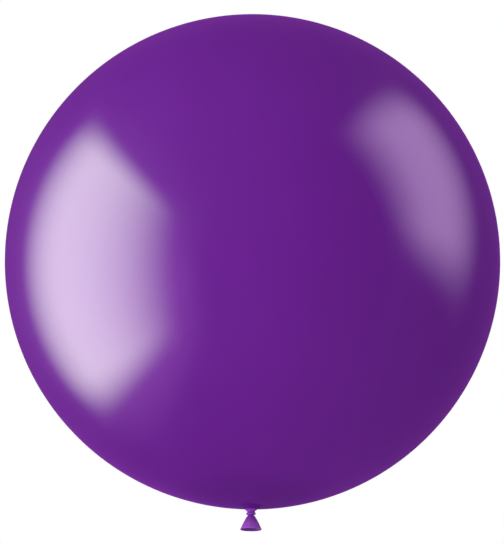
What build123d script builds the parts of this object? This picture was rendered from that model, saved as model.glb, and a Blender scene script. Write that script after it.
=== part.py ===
from build123d import *
import math
import os

# Giant round latex balloon, inflated and tied with an overhand knot.
#
# Frame, in millimetres: the origin is on the axis at the neck's narrowest point, just above the knot, where a
# ribbon is tied. +Z points up the axis, from the mouth to the crown. Every piece is round about Z.
#
# A real balloon is one dipped latex film with its edge rolled up. Here the film is divided where it changes
# its job:
#   envelope      the inflated round skin
#   neck          the tapering end of the skin, still full of air, drawn shut on the knot
#   knot_core     the gathered film that passes through the knot and seals the air in
#   knot_wrap     the turn of the overhand knot, which goes round the core
#   tail_gather   the pinched film just below the knot, which opens out into the tail
#   tail          the flared skirt below it, hollow and open downwards
#   rolled_rim    the rolled bead round the mouth
#
# The film bends in two places: in the neck, 4 mm above the origin, and in the gather, 5.4 mm below it.

# ---------------------------------------------------------------- driving dimensions
BALLOON_DIAMETER = 780.0
SKIN_WALL = 0.5  # a stand-in: the stretched film is about 0.03 mm thick
POLE_Z = 10.1  # where the round skin would close if it had no neck

TIE_RADIUS = 5.8  # the neck at its narrowest
TIE_HEIGHT = 1.2  # where the straight neck would meet the cone if the foot weren't rounded
NECK_HALF_ANGLE = 50.0  # degrees between the axis and the neck's cone
NECK_FOOT_FILLET = 2.5  # between the straight stretch and the cone
NECK_ROOT_FILLET = 10.0  # between the cone and the round skin
NECK_TOP_Z = 5.0  # the neck ends and the envelope begins

CORE_RADIUS = 3.9
WRAP_RADIUS = 7.3
WRAP_SHOULDER_RADIUS = 5.0
WRAP_EDGE_HEIGHT = 1.1  # the blunt edge at the wrap's widest
WRAP_FILLET = 0.6
KNOT_BOTTOM_Z = -4.6  # the knot's top is at the origin, where the neck ends

PINCH_RADIUS = 4.3
PINCH_Z = -5.2
GATHER_MIDDLE_RADIUS = 6.3
GATHER_MIDDLE_Z = -6.7
TAIL_TOP_RADIUS = 7.9
TAIL_TOP_Z = -9.6
TAIL_WALL = 0.7
TAIL_BELLY = 0.5  # how far the skirt bulges outside a straight cone
GATHER_FLOOR = 1.6  # solid film between the knot and the hollow of the tail

RIM_OUTER_RADIUS = 16.4
RIM_BEAD_RADIUS = 0.8
RIM_Z = -26.8

# ---------------------------------------------------------------- worked out from them
SKIN_RADIUS = BALLOON_DIAMETER / 2
SKIN_CENTRE_Z = POLE_Z + SKIN_RADIUS
RIM_RADIUS = RIM_OUTER_RADIUS - RIM_BEAD_RADIUS  # to the middle of the bead


def revolved(section):
    """The solid that half a section, drawn to the right of the axis, sweeps round Z."""
    return revolve(Plane.XZ * section, axis=Axis.Z)


def film_outline():
    """The whole section of the inflated film: a circle with a neck that ends flat on the knot."""
    cone_top_z = 3 * POLE_Z
    cone_top_radius = TIE_RADIUS + (cone_top_z - TIE_HEIGHT) * math.tan(math.radians(NECK_HALF_ANGLE))
    neck_outline = Polygon(
        (-TIE_RADIUS, 0),
        (TIE_RADIUS, 0),
        (TIE_RADIUS, TIE_HEIGHT),
        (cone_top_radius, cone_top_z),
        (-cone_top_radius, cone_top_z),
        (-TIE_RADIUS, TIE_HEIGHT),
        align=None,
    )
    outline = Pos(0, SKIN_CENTRE_Z) * Circle(SKIN_RADIUS) + neck_outline
    feet = outline.vertices().filter_by(lambda v: 0.1 < v.Y < TIE_HEIGHT + 0.1)
    outline = fillet(feet, NECK_FOOT_FILLET)
    roots = outline.vertices().filter_by(lambda v: POLE_Z - 1 < v.Y < 2 * POLE_Z)
    return fillet(roots, NECK_ROOT_FILLET)


def film():
    """The inflated film as one hollow solid, from the crown down to the knot."""
    right_side = Pos(SKIN_RADIUS, SKIN_CENTRE_Z) * Rectangle(2 * SKIN_RADIUS, 3 * SKIN_RADIUS)
    outer = film_outline()
    inner = offset(outer, amount=-SKIN_WALL)
    return revolved((outer - inner) & right_side)


def envelope(whole_film):
    return split(whole_film, bisect_by=Plane.XY.offset(NECK_TOP_Z), keep=Keep.TOP)


def neck(whole_film):
    return split(whole_film, bisect_by=Plane.XY.offset(NECK_TOP_Z), keep=Keep.BOTTOM)


def knot_core():
    height = -KNOT_BOTTOM_Z
    return Pos(0, 0, -height / 2) * Cylinder(CORE_RADIUS, height)


def knot_wrap():
    """A ring with a blunt edge, sloping in to the core above and below."""
    middle_z = KNOT_BOTTOM_Z / 2
    ring = Polygon(
        (CORE_RADIUS, 0),
        (WRAP_SHOULDER_RADIUS, 0),
        (WRAP_RADIUS, middle_z + WRAP_EDGE_HEIGHT / 2),
        (WRAP_RADIUS, middle_z - WRAP_EDGE_HEIGHT / 2),
        (WRAP_SHOULDER_RADIUS, KNOT_BOTTOM_Z),
        (CORE_RADIUS, KNOT_BOTTOM_Z),
        align=None,
    )
    corners = ring.vertices().filter_by(lambda v: v.X > CORE_RADIUS + 0.1)
    return revolved(fillet(corners, WRAP_FILLET))


def skirt_arc(inset):
    """The skirt's profile from its top to its rim, drawn inset inside the outer surface."""
    top = Vector(TAIL_TOP_RADIUS - inset, TAIL_TOP_Z)
    bottom = Vector(RIM_RADIUS + TAIL_WALL / 2 - inset, RIM_Z)
    along = (bottom - top).normalized()
    outwards = Vector(-along.Y, along.X)
    return ThreePointArc(top, (top + bottom) * 0.5 + outwards * TAIL_BELLY, bottom)


def tail_gather():
    """Solid where the film is gathered under the knot, hollow where it starts to open out."""
    skirt_slope = skirt_arc(0) % 0
    inner_top_radius = TAIL_TOP_RADIUS - TAIL_WALL
    hollow_top_z = PINCH_Z - GATHER_FLOOR
    outside = Spline(
        (PINCH_RADIUS, PINCH_Z),
        (GATHER_MIDDLE_RADIUS, GATHER_MIDDLE_Z),
        (TAIL_TOP_RADIUS, TAIL_TOP_Z),
        tangents=[(0.8, -0.6), (skirt_slope.X, skirt_slope.Y)],
    )
    hollow = Spline(
        (inner_top_radius, TAIL_TOP_Z),
        (0, hollow_top_z),
        tangents=[(-skirt_slope.X, -skirt_slope.Y), (-1, 0)],
    )
    section = make_face(
        [
            Line((0, KNOT_BOTTOM_Z), (PINCH_RADIUS, KNOT_BOTTOM_Z)),
            Line((PINCH_RADIUS, KNOT_BOTTOM_Z), (PINCH_RADIUS, PINCH_Z)),
            outside,
            Line((TAIL_TOP_RADIUS, TAIL_TOP_Z), (inner_top_radius, TAIL_TOP_Z)),
            hollow,
            Line((0, hollow_top_z), (0, KNOT_BOTTOM_Z)),
        ]
    )
    return revolved(section)


def rolled_rim():
    return Pos(0, 0, RIM_Z) * Torus(RIM_RADIUS, RIM_BEAD_RADIUS)


def tail(rim):
    outer = skirt_arc(0)
    inner = skirt_arc(TAIL_WALL)
    section = make_face([outer, Line(outer @ 1, inner @ 1), inner, Line(inner @ 0, outer @ 0)])
    return revolved(section) - rim


def main():
    whole_film = film()
    rim = rolled_rim()
    nodes = {
        "envelope": envelope(whole_film),
        "neck": neck(whole_film),
        "knot_core": knot_core(),
        "knot_wrap": knot_wrap(),
        "tail_gather": tail_gather(),
        "tail": tail(rim),
        "rolled_rim": rim,
    }
    os.makedirs("parts", exist_ok=True)
    for name, shape in nodes.items():
        export_step(shape, f"parts/{name}.step")


main()
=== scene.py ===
import math

import bpy
import numpy as np
from mathutils import Matrix, Vector


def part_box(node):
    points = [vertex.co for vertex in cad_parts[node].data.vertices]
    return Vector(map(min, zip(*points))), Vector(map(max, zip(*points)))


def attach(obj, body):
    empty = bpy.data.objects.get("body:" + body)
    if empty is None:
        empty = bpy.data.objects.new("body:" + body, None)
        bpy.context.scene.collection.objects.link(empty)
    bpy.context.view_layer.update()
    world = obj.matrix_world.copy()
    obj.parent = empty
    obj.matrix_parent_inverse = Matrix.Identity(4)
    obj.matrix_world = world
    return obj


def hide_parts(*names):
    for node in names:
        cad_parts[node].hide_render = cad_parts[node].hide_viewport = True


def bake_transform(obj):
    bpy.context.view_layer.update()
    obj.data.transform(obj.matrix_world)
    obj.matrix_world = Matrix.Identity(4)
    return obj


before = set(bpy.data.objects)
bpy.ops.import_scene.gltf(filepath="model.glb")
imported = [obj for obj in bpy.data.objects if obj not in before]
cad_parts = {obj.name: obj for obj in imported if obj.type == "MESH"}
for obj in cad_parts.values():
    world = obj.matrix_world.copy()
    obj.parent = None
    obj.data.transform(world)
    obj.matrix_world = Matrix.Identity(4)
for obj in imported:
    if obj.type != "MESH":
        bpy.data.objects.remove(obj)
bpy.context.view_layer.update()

# A giant round latex balloon, tied with an overhand knot. Metres, in the CAD's frame: the origin is the tie
# point just above the knot, and +Z points up to the crown.

MM = 0.001

# ---------------------------------------------------------------- sizes that the frame gives
skin_low, skin_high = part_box("envelope")
SKIN_RADIUS = (skin_high.x - skin_low.x) / 2
CROWN_Z = skin_high.z
SKIN_CENTRE_Z = CROWN_Z - SKIN_RADIUS
NECK_TOP_Z = skin_low.z

wrap_low, wrap_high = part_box("knot_wrap")
WRAP_RADIUS = wrap_high.x
WRAP_MIDDLE_Z = (wrap_low.z + wrap_high.z) / 2
KNOT_BOTTOM_Z = wrap_low.z
CORE_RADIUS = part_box("knot_core")[1].x

SHOULDER = 0.2 * MM  # how far the soft skirt's top stands outside the CAD's
TAIL_TOP_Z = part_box("tail")[1].z
TAIL_TOP_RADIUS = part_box("tail_gather")[1].x + SHOULDER

FLARE = 0.3 * MM  # how far the soft rim stands outside the CAD's
rim_low, rim_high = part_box("rolled_rim")
RIM_BEAD = (rim_high.z - rim_low.z) / 2
RIM_Z = (rim_high.z + rim_low.z) / 2
RIM_RADIUS = rim_high.x - RIM_BEAD + FLARE

# ---------------------------------------------------------------- sizes of the neck, the same as the CAD's
TIE_RADIUS = 5.8 * MM
TIE_HEIGHT = 1.2 * MM
NECK_HALF_ANGLE = math.radians(50)
NECK_FOOT_FILLET = 2.5 * MM
NECK_ROOT_FILLET = 10 * MM

# ---------------------------------------------------------------- sizes of the soft film only
TAIL_WALL = 0.45 * MM  # thinner than the CAD's
WRAP_INNER_RADIUS = 3.4 * MM  # the knot's turn bites a little into its core
GATHER_DEPTH = 0.26 * MM  # the folds of the neck at the tie
GATHER_REACH = 60 * MM  # how far out on the skin they fade away
TAIL_PLEAT_TOP = 0.50 * MM  # the folds of the skirt at its top
TAIL_PLEAT_FOOT = 0.24 * MM  # and at its rim
SKIRT_FOOT_PROUD = 0.35 * MM  # from the middle of the rim's bead out to the skirt's foot
SKIRT_BELLY = 0.5 * MM  # how far the skirt bulges outside a straight cone

SEGMENTS = 256
TAIL_COLUMNS = 192
TAIL_ROWS = 36
KNOT_CORE_COLUMNS = 96


# ---------------------------------------------------------------- mesh helpers
def smooth(t):
    """0 below t = 0, 1 above t = 1, and an even S-curve between."""
    t = np.clip(t, 0, 1)
    return t * t * (3 - 2 * t)


def angles(count=SEGMENTS):
    return np.arange(count) * 2 * math.pi / count


def ring(radius, height, theta):
    """Points round Z. radius and height are numbers, or arrays with a value for each angle."""
    full = np.ones_like(theta)
    return np.stack([radius * np.cos(theta), radius * np.sin(theta), height * full], axis=-1)


def mesh_from_rings(name, rings, closed_loop=False, sharp_rows=()):
    """A mesh through rings of equally many points, each ring closed round the axis.

    A closed loop joins the last ring to the first, like a torus. Otherwise both ends close on their own
    middle points. sharp_rows are the rings at which the smooth shading breaks. The attribute "rest" keeps
    where each point was before any bending, for the textures to hold on to.
    """
    rings = np.asarray(rings, float)
    rows, columns = rings.shape[:2]
    points = [tuple(p) for p in rings.reshape(-1, 3)]
    faces = []
    for row in range(rows if closed_loop else rows - 1):
        a, b = row * columns, (row + 1) % rows * columns
        for i in range(columns):
            j = (i + 1) % columns
            faces.append((a + i, a + j, b + j, b + i))
    if not closed_loop:
        for row, outward in ((0, False), (rows - 1, True)):
            middle = len(points)
            points.append(tuple(rings[row].mean(axis=0)))
            for i in range(columns):
                j = (i + 1) % columns
                a, b = row * columns + i, row * columns + j
                faces.append((a, b, middle) if outward else (b, a, middle))
    mesh = bpy.data.meshes.new(name)
    mesh.from_pydata(points, [], faces)
    mesh.update()
    mesh.polygons.foreach_set("use_smooth", [True] * len(mesh.polygons))
    sharp = set(sharp_rows)
    if sharp:
        for edge in mesh.edges:
            a, b = edge.vertices
            same_row = max(a, b) < rows * columns and a // columns == b // columns
            if same_row and a // columns in sharp:
                edge.use_edge_sharp = True
    rest = mesh.attributes.new("rest", "FLOAT_VECTOR", "POINT")
    rest.data.foreach_set("vector", np.array(points, np.float32).ravel())
    obj = bpy.data.objects.new(name, mesh)
    bpy.context.collection.objects.link(obj)
    return obj


# ---------------------------------------------------------------- inflated skin and neck
def gather_pleats(theta):
    """Uneven folds round the neck, between -1 and 1."""
    return (
        0.45 * np.cos(17 * theta + 0.6)
        + 0.30 * np.cos(23 * theta + 2.1)
        + 0.25 * np.cos(11 * theta + 4.4)
    )


def cone_radius(z):
    """The radius of the neck's cone at that height."""
    return TIE_RADIUS + (z - TIE_HEIGHT) * math.tan(NECK_HALF_ANGLE)


def root_fillet():
    """Centre of the round between the neck's cone and the ball, in (radius, z)."""
    run, rise = math.cos(NECK_HALF_ANGLE), math.sin(NECK_HALF_ANGLE)
    slope = run / rise
    start = TIE_HEIGHT - (TIE_RADIUS * run + NECK_ROOT_FILLET) / rise
    drop = SKIN_CENTRE_Z - start
    reach = SKIN_RADIUS + NECK_ROOT_FILLET
    square = 1 + slope ** 2
    radius = (slope * drop - math.sqrt((slope * drop) ** 2 - square * (drop ** 2 - reach ** 2))) / square
    return radius, start + slope * radius


def skin_rows():
    """(radius, z) of the skin from the top of the neck to the crown."""
    fillet_radius, fillet_z = root_fillet()
    cone_end = fillet_z + NECK_ROOT_FILLET * math.sin(NECK_HALF_ANGLE)
    ball_angle = math.atan2(fillet_radius, SKIN_CENTRE_Z - fillet_z)
    rows = []
    for z in np.linspace(NECK_TOP_Z, cone_end, 6, endpoint=False):
        rows.append((cone_radius(z), z))
    for turn in np.linspace(math.pi / 2 - NECK_HALF_ANGLE, ball_angle, 12, endpoint=False):
        rows.append((
            fillet_radius - NECK_ROOT_FILLET * math.sin(turn),
            fillet_z + NECK_ROOT_FILLET * math.cos(turn),
        ))
    for step in np.linspace(0, 1, 150)[:-1]:
        polar = ball_angle + (math.pi - ball_angle) * (0.25 * step + 0.75 * step ** 1.5)
        rows.append((SKIN_RADIUS * math.sin(polar), SKIN_CENTRE_Z - SKIN_RADIUS * math.cos(polar)))
    return rows


def pleat_depth(radius):
    """How deep the gathers are that far from the axis: deepest at the tie, and none on the open skin."""
    return GATHER_DEPTH * (1 - smooth((radius - TIE_RADIUS) / GATHER_REACH)) ** 3


def build_skin():
    """The inflated skin, closed off by a low cap inside it at the top of the neck."""
    theta = angles()
    rings = []
    for radius, z in skin_rows():
        depth = pleat_depth(radius) * gather_pleats(theta)
        rings.append(ring(radius + depth, z - 0.4 * depth, theta))
    cap = [ring(3.0 * MM, NECK_TOP_Z + 2.0 * MM, theta), ring(7.5 * MM, NECK_TOP_Z + 1.2 * MM, theta)]
    skin = mesh_from_rings("skin", cap + rings, sharp_rows=(len(cap),))
    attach(skin, "envelope")
    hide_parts("envelope")
    return skin


def neck_rows():
    """(radius, z) of the neck from inside the knot up to the skin."""
    corner = NECK_FOOT_FILLET * math.tan(NECK_HALF_ANGLE / 2)
    foot_z = TIE_HEIGHT - corner
    rows = [(4.0 * MM, -0.9 * MM), (4.6 * MM, -0.55 * MM), (5.3 * MM, -0.2 * MM), (TIE_RADIUS, foot_z)]
    for turn in np.linspace(0, NECK_HALF_ANGLE, 7)[1:]:
        rows.append((
            TIE_RADIUS + NECK_FOOT_FILLET * (1 - math.cos(turn)),
            foot_z + NECK_FOOT_FILLET * math.sin(turn),
        ))
    for z in np.linspace(rows[-1][1], NECK_TOP_Z, 9)[1:]:
        rows.append((cone_radius(z), z))
    return rows


def build_neck():
    """The neck, from inside the knot up to a lid just under the skin's lower edge."""
    theta = angles()
    rings = []
    for radius, z in neck_rows():
        depth = pleat_depth(radius) * gather_pleats(theta)
        rings.append(ring(radius + depth, z - 0.4 * depth * smooth(z / NECK_TOP_Z), theta))
    rings.append(ring(3 * MM, NECK_TOP_Z - 0.6 * MM, theta))
    neck = mesh_from_rings("neck_film", rings, sharp_rows=(len(rings) - 2,))
    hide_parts("neck")
    return neck


# ---------------------------------------------------------------- knot
def build_knot_core():
    """The gathered film inside the knot, which reaches a little into the neck and into the gather below."""
    theta = angles(KNOT_CORE_COLUMNS)
    top_z, bottom_z = 0.1 * MM, KNOT_BOTTOM_Z - 0.2 * MM
    rings = []
    for step in np.linspace(0, 1, 9):
        z = top_z + step * (bottom_z - top_z)
        folds = 1 + 0.05 * np.cos(8 * theta + 3 * step) + 0.03 * np.cos(13 * theta + 1)
        rings.append(ring(CORE_RADIUS * folds, z, theta))
    core = mesh_from_rings("knot_core_film", rings[::-1], sharp_rows=(0, len(rings) - 1))
    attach(core, "knot")
    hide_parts("knot_core")
    return core


def build_knot_wrap():
    """The turn of the knot: a soft ring, pointed outwards, with a crease of the film winding round it."""
    half_width = (WRAP_RADIUS - WRAP_INNER_RADIUS) / 2
    half_height = -KNOT_BOTTOM_Z / 2
    middle = WRAP_RADIUS - half_width + 0.05 * MM
    phi = angles(144)
    tilt = 0.22 * MM * np.cos(phi - 0.5)
    rings = []
    for turn in angles(48):
        crease_at = math.pi / 2 + phi
        gap = np.angle(np.exp(1j * (turn - crease_at)))
        crease = np.exp(-(gap / 0.3) ** 2)
        creep = np.exp(-((gap - 0.75) / 0.35) ** 2)
        squeeze = 1 - 0.15 * crease + 0.04 * creep + 0.03 * np.cos(5 * phi + 3 * turn) * abs(math.cos(turn))
        wrinkle = 0.035 * np.cos(19 * phi + 2 * turn) * max(0.0, math.sin(turn)) ** 2
        outwards = math.copysign(abs(math.cos(turn)) ** 1.3, math.cos(turn))
        upwards = math.copysign(abs(math.sin(turn)) ** 0.95, math.sin(turn))
        radius = middle + half_width * outwards * (squeeze + wrinkle)
        z = WRAP_MIDDLE_Z + 0.93 * half_height * upwards * (squeeze + wrinkle) + tilt
        rings.append(ring(radius, z, phi))
    wrap = mesh_from_rings("knot_turn", rings, closed_loop=True)
    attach(wrap, "knot")
    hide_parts("knot_wrap")
    return wrap


# ---------------------------------------------------------------- tail and rolled rim
def tail_pleats(theta):
    """Uneven folds round the tail, between -1 and 1."""
    return (
        0.50 * np.cos(7 * theta - 1.57)
        + 0.28 * np.cos(11 * theta + 0.3)
        + 0.22 * np.cos(4 * theta + 2.2)
    )


def rim_drift(theta):
    """How far the soft rim strays from a true circle: (outwards, upwards)."""
    outwards = 0.10 * MM * np.cos(2 * theta + 0.6) + 0.06 * MM * np.cos(5 * theta + 2.0)
    upwards = 0.08 * MM * np.cos(3 * theta + 1.1) + 0.05 * MM * np.cos(7 * theta)
    return outwards, upwards


def skirt_ring(down, inset, theta):
    """A ring of the skirt, down = 0 at its top and 1 at the rim, inset from its outer surface."""
    foot_radius = RIM_RADIUS + SKIRT_FOOT_PROUD
    bulge = SKIRT_BELLY * 4 * down * (1 - down)
    radius = TAIL_TOP_RADIUS + down * (foot_radius - TAIL_TOP_RADIUS) + bulge
    z = TAIL_TOP_Z + down * (RIM_Z - TAIL_TOP_Z)
    outwards, upwards = rim_drift(theta)
    pleats = (TAIL_PLEAT_TOP + down * (TAIL_PLEAT_FOOT - TAIL_PLEAT_TOP)) * tail_pleats(theta)
    return ring(radius - inset + pleats + outwards * down ** 2, z + upwards * down ** 2, theta)


def build_tail():
    """The skirt, with its outside and its inside as one thin closed wall."""
    theta = angles(TAIL_COLUMNS)
    steps = np.linspace(0, 1, TAIL_ROWS)
    outer = [skirt_ring(down, 0, theta) for down in steps]
    inner = [skirt_ring(down, TAIL_WALL, theta) for down in steps[::-1]]
    edges = (0, TAIL_ROWS - 1, TAIL_ROWS, 2 * TAIL_ROWS - 1)
    tail = mesh_from_rings("tail_skirt", outer[::-1] + inner[::-1], closed_loop=True, sharp_rows=edges)
    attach(tail, "tail")
    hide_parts("tail")
    return tail


def refined(stations, spans):
    """Stations on a smooth curve through the given ones, with that many spans in place of each span."""
    points = np.array(stations, float)
    points = np.vstack([2 * points[0] - points[1], points, 2 * points[-1] - points[-2]])
    rows = []
    for a, b, c, d in zip(points, points[1:], points[2:], points[3:]):
        for t in np.arange(spans) / spans:
            bend = (2 * a - 5 * b + 4 * c - d) * t ** 2 + (3 * b - a - 3 * c + d) * t ** 3
            rows.append(b + 0.5 * ((c - a) * t + bend))
    rows.append(points[-2])
    return rows


def build_tail_gather():
    """The film from inside the knot to the top of the skirt, and back up inside to a closed end."""
    theta = angles(TAIL_COLUMNS)
    stations = [  # radius and height in millimetres, and how much of the pleats' depth is there
        (3.6, -4.2, 0.5),
        (4.1, -4.75, 0.8),
        (4.5, -5.25, 1.0),
        (5.35, -5.95, 1.0),
        (6.25, -6.75, 1.0),
        (6.9, -7.6, 1.0),
        (7.4, -8.6, 1.0),
        (TAIL_TOP_RADIUS / MM, TAIL_TOP_Z / MM, 1.0),
    ]
    outer = []
    for radius, z, fold in refined(stations, 4):
        outer.append(ring(radius * MM + TAIL_PLEAT_TOP * fold * tail_pleats(theta), z * MM, theta))
    inner = [skirt_ring(0, TAIL_WALL, theta)]
    for radius, z in ((6.3, -8.4), (4.6, -7.5), (2.4, -7.0)):
        inner.append(ring(radius * MM * (1 + 0.07 * tail_pleats(theta)), z * MM, theta))
    rings = (outer + inner)[::-1]
    gather = mesh_from_rings("tail_gather_film", rings, sharp_rows=(len(inner) - 1, len(inner)))
    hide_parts("tail_gather")
    return gather


def build_rim():
    """The rolled bead, with the film's own edge showing as a groove on its inside."""
    theta = angles(TAIL_COLUMNS)
    edge_at = math.radians(155)
    outwards, upwards = rim_drift(theta)
    rings = []
    for turn in angles(28):
        from_edge = math.remainder(turn - edge_at, 2 * math.pi)
        groove = 1 - 0.16 * math.exp(-((from_edge / 0.28) ** 2))
        lumps = 1 + 0.035 * np.cos(9 * theta + 0.8) + 0.025 * np.cos(16 * theta + turn)
        bead = RIM_BEAD * groove * lumps
        radius = RIM_RADIUS + outwards + bead * math.cos(turn)
        rings.append(ring(radius, RIM_Z + upwards + bead * math.sin(turn), theta))
    rim = mesh_from_rings("rim_roll", rings, closed_loop=True)
    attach(rim, "tail")
    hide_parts("rolled_rim")
    return rim


# ---------------------------------------------------------------- materials
def along_axis(nodes, links, rest, low, high):
    """A factor that goes from 0 at the height low to 1 at the height high."""
    parts = nodes.new("ShaderNodeSeparateXYZ")
    links.new(rest.outputs["Vector"], parts.inputs["Vector"])
    ramp = nodes.new("ShaderNodeMapRange")
    ramp.interpolation_type = "SMOOTHSTEP"
    ramp.inputs["From Min"].default_value = low
    ramp.inputs["From Max"].default_value = high
    links.new(parts.outputs["Z"], ramp.inputs["Value"])
    return ramp


def latex(
    name,
    colour,
    deep_colour,
    streak_scale,
    bump_mm,
    gloss,
    gloss_roughness,
    coat_index=1.5,
    translucency=0.0,
):
    """Pearl latex: its colour and polish drift a little from place to place, as the film's thickness does.

    gloss is how much clear coat it has, and coat_index how strongly that mirrors.
    """
    material = bpy.data.materials.new(name)
    material.use_nodes = True
    nodes, links = material.node_tree.nodes, material.node_tree.links
    shader = nodes["Principled BSDF"]
    rest = nodes.new("ShaderNodeAttribute")
    rest.name = "rest"
    rest.attribute_name = "rest"

    streaks = nodes.new("ShaderNodeTexNoise")
    streaks.inputs["Scale"].default_value = streak_scale
    streaks.inputs["Detail"].default_value = 3
    stretch = nodes.new("ShaderNodeMapping")
    stretch.inputs["Scale"].default_value = (1.0, 1.0, 0.35)
    links.new(rest.outputs["Vector"], stretch.inputs["Vector"])
    links.new(stretch.outputs["Vector"], streaks.inputs["Vector"])
    tint = nodes.new("ShaderNodeMix")
    tint.data_type = "RGBA"
    tint.inputs["A"].default_value = (*deep_colour, 1)
    tint.inputs["B"].default_value = (*colour, 1)
    links.new(streaks.outputs["Fac"], tint.inputs["Factor"])
    links.new(tint.outputs["Result"], shader.inputs["Base Color"])

    polish = nodes.new("ShaderNodeMapRange")
    polish.inputs["To Min"].default_value = 0.38
    polish.inputs["To Max"].default_value = 0.46
    links.new(streaks.outputs["Fac"], polish.inputs["Value"])
    links.new(polish.outputs["Result"], shader.inputs["Roughness"])

    grain = nodes.new("ShaderNodeTexNoise")
    grain.inputs["Scale"].default_value = 420
    grain.inputs["Detail"].default_value = 2
    links.new(rest.outputs["Vector"], grain.inputs["Vector"])
    bump = nodes.new("ShaderNodeBump")
    bump.inputs["Distance"].default_value = bump_mm * MM
    bump.inputs["Strength"].default_value = 1.0
    links.new(grain.outputs["Fac"], bump.inputs["Height"])
    links.new(bump.outputs["Normal"], shader.inputs["Normal"])
    links.new(bump.outputs["Normal"], shader.inputs["Coat Normal"])

    shader.inputs["Specular IOR Level"].default_value = 0.30
    shader.inputs["Sheen Weight"].default_value = 0.42
    shader.inputs["Sheen Roughness"].default_value = 0.35
    shader.inputs["Sheen Tint"].default_value = (0.50, 0.060, 0.85, 1)
    shader.inputs["Coat Weight"].default_value = gloss
    shader.inputs["Coat Roughness"].default_value = gloss_roughness
    shader.inputs["Coat IOR"].default_value = coat_index
    shader.inputs["Subsurface Radius"].default_value = (1.0, 0.5, 1.0)
    shader.inputs["Subsurface Scale"].default_value = 2.5 * MM
    shader.inputs["Subsurface Weight"].default_value = translucency
    return material


def darken(material, factor, darker):
    """Multiplies the material's colour by darker where factor is 0, and leaves it where it is 1."""
    nodes, links = material.node_tree.nodes, material.node_tree.links
    shade = nodes.new("ShaderNodeMix")
    shade.data_type = "RGBA"
    shade.inputs["A"].default_value = (*darker, 1)
    shade.inputs["B"].default_value = (1, 1, 1, 1)
    links.new(factor, shade.inputs["Factor"])
    product = nodes.new("ShaderNodeMix")
    product.data_type = "RGBA"
    product.blend_type = "MULTIPLY"
    product.inputs["Factor"].default_value = 1.0
    before = nodes["Principled BSDF"].inputs["Base Color"].links[0].from_socket
    links.new(before, product.inputs["A"])
    links.new(shade.outputs["Result"], product.inputs["B"])
    links.new(product.outputs["Result"], nodes["Principled BSDF"].inputs["Base Color"])


def dull_and_shade_near_neck(material):
    """Takes the clear coat off near the neck, where the film is less stretched, and darkens its colour
    there: partly the thicker film's deeper colour, partly painted shade under the ball round the neck root.
    """
    nodes, links = material.node_tree.nodes, material.node_tree.links
    stretched = along_axis(nodes, links, nodes["rest"], 12 * MM, 45 * MM)
    links.new(stretched.outputs["Result"], nodes["Principled BSDF"].inputs["Coat Weight"])
    # painted shade round the neck root, together with the thicker film's deeper colour
    darken(material, stretched.outputs["Result"], (0.70, 0.82, 0.71))


def add_crown_spot(material):
    """The film stays thick, and so deeper in colour, in a soft spot at the crown."""
    nodes, links = material.node_tree.nodes, material.node_tree.links
    away = nodes.new("ShaderNodeVectorMath")
    away.operation = "DISTANCE"
    away.inputs[1].default_value = (0, 0, CROWN_Z)
    links.new(nodes["rest"].outputs["Vector"], away.inputs[0])
    ramp = nodes.new("ShaderNodeMapRange")
    ramp.interpolation_type = "SMOOTHSTEP"
    ramp.inputs["From Min"].default_value = 9 * MM
    ramp.inputs["From Max"].default_value = 34 * MM
    links.new(away.outputs["Value"], ramp.inputs["Value"])
    darken(material, ramp.outputs["Result"], (0.62, 0.55, 0.66))


def deepen_upwards(material, dark_z, light_z, darker):
    """Multiplies the colour by darker at dark_z and above, and leaves it at light_z and below."""
    nodes, links = material.node_tree.nodes, material.node_tree.links
    ramp = along_axis(nodes, links, nodes["rest"], dark_z, light_z)
    darken(material, ramp.outputs["Result"], darker)


def paint(obj, material):
    obj.data.materials.clear()
    obj.data.materials.append(material)


def paint_inside(obj, material, first_face):
    """Gives the faces from first_face on, which are the inside of the film, another material."""
    obj.data.materials.append(material)
    for face in obj.data.polygons[first_face:]:
        face.material_index = 1


# ---------------------------------------------------------------- stage, light and camera
def add_floor(height):
    half = 30.0
    mesh = bpy.data.meshes.new("floor")
    corners = [(-half, -half, 0), (half, -half, 0), (half, half, 0), (-half, half, 0)]
    mesh.from_pydata(corners, [], [(0, 1, 2, 3)])
    floor = bpy.data.objects.new("floor", mesh)
    bpy.context.collection.objects.link(floor)
    floor.location.z = height
    floor.visible_glossy = False
    material = bpy.data.materials.new("floor_paper")
    material.use_nodes = True
    material.node_tree.nodes["Principled BSDF"].inputs["Base Color"].default_value = (0.78, 0.78, 0.78, 1)
    material.node_tree.nodes["Principled BSDF"].inputs["Roughness"].default_value = 0.9
    mesh.materials.append(material)


def add_world(seen, mirrored, diffuse, lean):
    """A plain studio. The camera sees it in the grey level seen, and mirrors see the colour mirrored.

    Matt surfaces get diffuse + lean from the left and diffuse - lean from the right.
    """
    world = bpy.data.worlds.new("studio")
    bpy.context.scene.world = world
    world.use_nodes = True
    nodes, links = world.node_tree.nodes, world.node_tree.links
    direction = nodes.new("ShaderNodeTexCoord")
    parts = nodes.new("ShaderNodeSeparateXYZ")
    links.new(direction.outputs["Generated"], parts.inputs["Vector"])
    leaning = nodes.new("ShaderNodeMath")
    leaning.operation = "MULTIPLY_ADD"
    leaning.inputs[1].default_value = -lean
    leaning.inputs[2].default_value = diffuse
    links.new(parts.outputs["X"], leaning.inputs[0])
    path = nodes.new("ShaderNodeLightPath")
    for_diffuse = nodes.new("ShaderNodeMix")
    for_diffuse.data_type = "RGBA"
    for_diffuse.inputs["A"].default_value = (*mirrored, 1)
    links.new(leaning.outputs["Value"], for_diffuse.inputs["B"])
    links.new(path.outputs["Is Diffuse Ray"], for_diffuse.inputs["Factor"])
    for_camera = nodes.new("ShaderNodeMix")
    for_camera.data_type = "RGBA"
    for_camera.inputs["B"].default_value = (seen, seen, seen, 1)
    links.new(for_diffuse.outputs["Result"], for_camera.inputs["A"])
    links.new(path.outputs["Is Camera Ray"], for_camera.inputs["Factor"])
    links.new(for_camera.outputs["Result"], nodes["Background"].inputs["Color"])


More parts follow.
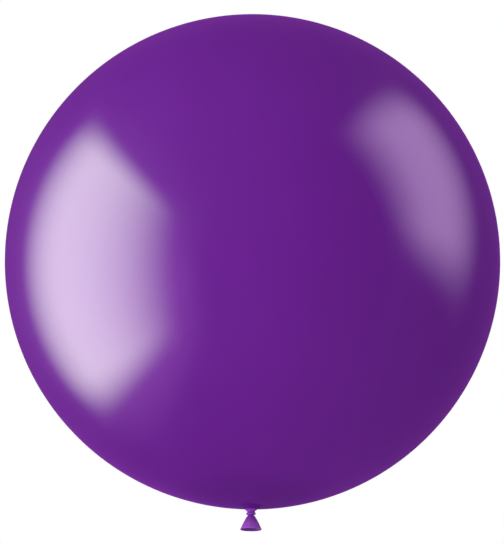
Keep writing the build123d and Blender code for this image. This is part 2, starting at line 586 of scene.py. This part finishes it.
def add_softbox(name, corners, feather, strength, colour):
    """A glowing, see-through card that only mirrors see.

    Its corners go near bottom, far bottom, far top, near top. It fades out towards its edges, down to a
    faint glow that ends crisply. feather = (near, far, bottom, top) is how much of the card each fade takes.
    """
    near_bottom, far_bottom, far_top, near_top = (np.array(corner, float) for corner in corners)
    count = 65
    along, up = np.meshgrid(np.linspace(0, 1, count), np.linspace(0, 1, count))
    bottom = near_bottom + along[..., None] * (far_bottom - near_bottom)
    top = near_top + along[..., None] * (far_top - near_top)
    points = bottom + up[..., None] * (top - bottom)
    faces = []
    for row in range(count - 1):
        for column in range(count - 1):
            a = row * count + column
            faces.append((a, a + 1, a + count + 1, a + count))
    mesh = bpy.data.meshes.new(name)
    mesh.from_pydata([tuple(point) for point in points.reshape(-1, 3)], [], faces)
    glow = smooth(along / feather[0]) * smooth((1 - along) / feather[1])
    glow = glow * smooth(up / feather[2]) * smooth((1 - up) / feather[3])
    level = mesh.attributes.new("glow", "FLOAT", "POINT")
    faint = 0.012
    level.data.foreach_set("value", (strength * (faint + (1 - faint) * glow)).astype(np.float32).ravel())
    card = bpy.data.objects.new(name, mesh)
    bpy.context.collection.objects.link(card)
    card.visible_camera = False
    card.visible_diffuse = False
    card.visible_shadow = False
    material = bpy.data.materials.new(name)
    material.use_nodes = True
    nodes, links = material.node_tree.nodes, material.node_tree.links
    nodes.remove(nodes["Principled BSDF"])
    glowing = nodes.new("ShaderNodeEmission")
    attribute = nodes.new("ShaderNodeAttribute")
    attribute.attribute_name = "glow"
    glowing.inputs["Color"].default_value = (*colour, 1)
    links.new(attribute.outputs["Fac"], glowing.inputs["Strength"])
    clear = nodes.new("ShaderNodeBsdfTransparent")
    both = nodes.new("ShaderNodeAddShader")
    links.new(glowing.outputs["Emission"], both.inputs[0])
    links.new(clear.outputs["BSDF"], both.inputs[1])
    links.new(both.outputs["Shader"], nodes["Material Output"].inputs["Surface"])
    mesh.materials.append(material)


def add_area_light(name, location, target, size, watts):
    """A soft lamp that lights matt surfaces and leaves no reflection."""
    data = bpy.data.lights.new(name, "AREA")
    data.shape = "RECTANGLE"
    data.size, data.size_y = size
    data.energy = watts
    lamp = bpy.data.objects.new(name, data)
    bpy.context.collection.objects.link(lamp)
    lamp.location = location
    lamp.rotation_euler = (Vector(target) - Vector(location)).to_track_quat("-Z", "Y").to_euler()
    lamp.visible_glossy = False


def add_camera(target, distance, elevation, roll, lens):
    """A camera in front of the target, at that distance and elevation from it."""
    data = bpy.data.cameras.new("camera")
    data.lens = lens
    camera = bpy.data.objects.new("camera", data)
    bpy.context.collection.objects.link(camera)
    away = Vector((0, -math.cos(elevation), math.sin(elevation)))
    camera.location = Vector(target) + distance * away
    aim = (Vector(target) - camera.location).to_track_quat("-Z", "Y").to_matrix()
    camera.rotation_euler = (aim @ Matrix.Rotation(roll, 3, "Z")).to_euler()
    bpy.context.scene.camera = camera


# ---------------------------------------------------------------- put it together
VIOLET = (0.173, 0.0035, 0.352)
VIOLET_DEEP = (0.150, 0.0021, 0.312)
NECK_VIOLET = (0.280, 0.050, 0.480)
KNOT_VIOLET = (0.340, 0.055, 0.620)
TAIL_VIOLET = (0.410, 0.098, 0.650)
TAIL_VIOLET_DEEP = (0.370, 0.085, 0.600)
# the inside of the skirt is the same film, painted darker as shade inside the mouth
INSIDE_SHADE_VIOLET = (0.200, 0.034, 0.340)
INSIDE_SHADE_VIOLET_DEEP = (0.175, 0.030, 0.310)

skin = build_skin()
neck = build_neck()
core = build_knot_core()
wrap = build_knot_wrap()
gather = build_tail_gather()
tail = build_tail()
rim = build_rim()

SATIN = {"gloss": 0.15, "gloss_roughness": 0.3}  # the unstretched film is much less glossy than the skin

skin_latex = latex(
    "latex_skin",
    VIOLET,
    VIOLET_DEEP,
    streak_scale=9,
    bump_mm=0.004,
    gloss=1.0,
    gloss_roughness=0.07,
    coat_index=2.5,
)
# the darkening near the neck is partly painted shade under the ball
dull_and_shade_near_neck(skin_latex)
add_crown_spot(skin_latex)
neck_latex = latex("latex_neck", NECK_VIOLET, KNOT_VIOLET, streak_scale=160, bump_mm=0.01, **SATIN)
deepen_upwards(neck_latex, dark_z=4.6 * MM, light_z=3.4 * MM, darker=(0.52, 0.09, 0.62))
knot_latex = latex("latex_knot", KNOT_VIOLET, NECK_VIOLET, streak_scale=300, bump_mm=0.02, **SATIN)
tail_latex = latex(
    "latex_tail",
    TAIL_VIOLET,
    TAIL_VIOLET_DEEP,
    streak_scale=180,
    bump_mm=0.02,
    translucency=0.25,
    **SATIN,
)
# painted shade: the tail and its gather get darker towards the pinch under the knot
deepen_upwards(tail_latex, dark_z=-5 * MM, light_z=-24 * MM, darker=(0.62, 0.58, 0.68))
rim_latex = latex(
    "latex_rim",
    TAIL_VIOLET,
    TAIL_VIOLET_DEEP,
    streak_scale=220,
    bump_mm=0.02,
    translucency=0.25,
    **SATIN,
)
# painted shade inside the mouth of the tail
inside_shade_latex = latex(
    "latex_inside_painted_shade",
    INSIDE_SHADE_VIOLET,
    INSIDE_SHADE_VIOLET_DEEP,
    streak_scale=180,
    bump_mm=0.02,
    gloss=0.05,
    gloss_roughness=0.4,
)
paint(skin, skin_latex)
paint(neck, neck_latex)
paint(core, knot_latex)
paint(wrap, knot_latex)
paint(gather, tail_latex)
paint(tail, tail_latex)
paint_inside(tail, inside_shade_latex, TAIL_ROWS * TAIL_COLUMNS)
paint(rim, rim_latex)

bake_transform(neck)
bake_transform(gather)

middle = Vector((0, 0, SKIN_CENTRE_Z))
add_floor(height=-1.5)
add_world(seen=1.0, mirrored=(0.10, 0.018, 0.17), diffuse=0.80, lean=0.48)
add_softbox(
    "left_softbox",
    corners=[(-1.6, -1.95, -1.95), (-1.6, 1.60, -1.15), (-1.6, 0.60, 2.20), (-1.6, -2.75, 1.0)],
    feather=(0.65, 0.33, 0.24, 0.15),
    strength=2.3,
    colour=(0.97, 1.0, 0.84),
)
add_softbox(
    "left_haze",
    corners=[(-1.7, -4.2, -4.2), (-1.7, 2.9, -3.0), (-1.7, 1.2, 2.4), (-1.7, -4.2, 1.8)],
    feather=(0.5, 0.5, 0.5, 0.5),
    strength=0.42,
    colour=(0.85, 0.35, 1.0),
)
add_softbox(
    "right_softbox",
    corners=[(1.6, -0.9, 0.2), (1.6, 0.55, -0.05), (1.6, 1.9, 3.0), (1.6, -1.95, 2.8)],
    feather=(0.45, 0.47, 0.22, 0.38),
    strength=1.10,
    colour=(0.93, 0.66, 1.0),
)
add_area_light("key", (-2.8, -3.0, 0.0), target=middle, size=(2.8, 2.8), watts=54)

add_camera(
    target=(-0.0007, 0, SKIN_CENTRE_Z - 0.0165),
    distance=7.0,
    elevation=math.radians(-13.1),
    roll=math.radians(0.34),
    lens=294.04,
)
bpy.context.scene.view_settings.view_transform = "Standard"
